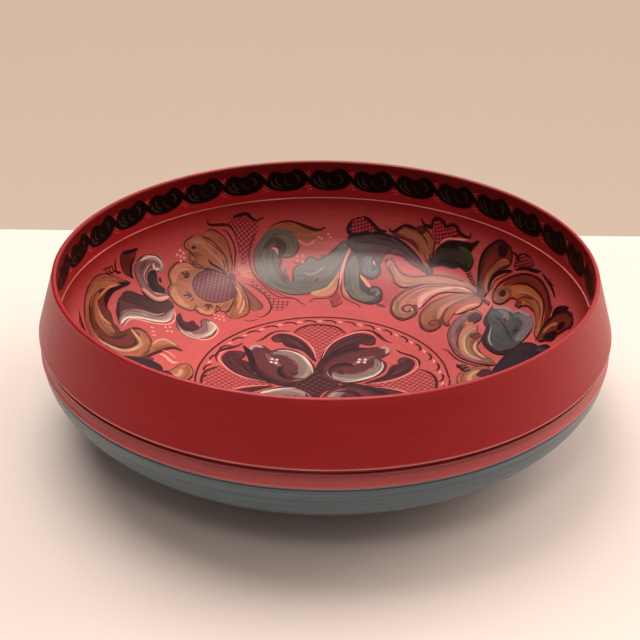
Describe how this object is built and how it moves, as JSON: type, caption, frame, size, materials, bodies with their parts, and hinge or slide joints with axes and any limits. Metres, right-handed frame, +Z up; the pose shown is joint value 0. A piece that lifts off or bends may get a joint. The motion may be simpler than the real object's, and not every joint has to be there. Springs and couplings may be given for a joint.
{
  "type": "painted wooden bowl",
  "caption": "Wide turned wooden bowl with a tall inward-leaning rim glued over a tongue, a moulded band below it, blue-grey underside and folk-painted red inside.",
  "frame": {"origin": "centre of the foot, on the surface that the bowl stands on", "axes": "+Z up the turning axis to the open mouth; -Y faces the picture's camera, +X to its right"},
  "size_m": [0.3, 0.3, 0.09],
  "materials": {
    "rim_paint": "satin dark red oil paint on turned wood, fine turning and brush lines",
    "bowl_paint": "satin blue-grey oil paint outside, coral red oil paint inside, on turned wood",
    "ornament_paint": "satin oil paint strokes in ochre, cream, blue-green, aubergine and near-black"
  },
  "bodies": {
    "root": {"rim_ring": "rim_paint", "bowl_body": "bowl_paint"}
  },
  "joints": []
}
